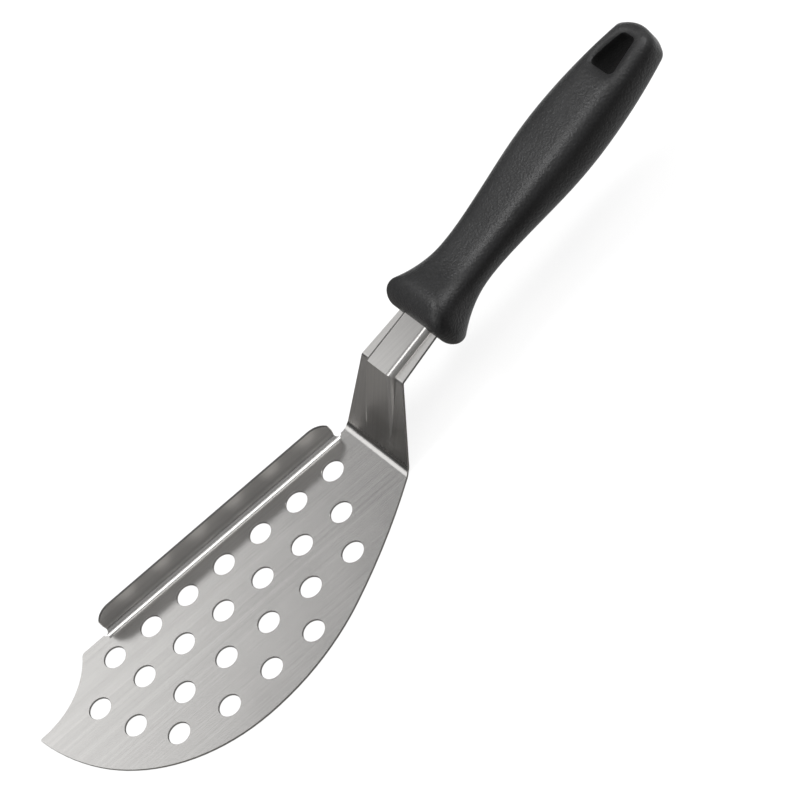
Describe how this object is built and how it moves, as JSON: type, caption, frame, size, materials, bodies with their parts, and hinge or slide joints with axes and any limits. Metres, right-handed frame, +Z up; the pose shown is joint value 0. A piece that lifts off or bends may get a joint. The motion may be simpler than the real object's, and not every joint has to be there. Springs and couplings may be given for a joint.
{
  "type": "fish spatula",
  "caption": "Offset fish spatula with a perforated steel blade, a folded side guard, a cranked ribbed neck and a moulded grip with a hanging hole.",
  "frame": {"origin": "on the blade's flat underside, half way along the blade and half way across it", "axes": "+X from the blade's tip towards the handle, +Y towards the side guard, +Z up off the blade"},
  "size_m": [0.3385, 0.0993, 0.0537],
  "materials": {
    "steel": "satin brushed along the blade",
    "grip": "fine matte moulding grain"
  },
  "bodies": {
    "root": {"blade": "steel", "handle": "grip"}
  },
  "joints": []
}
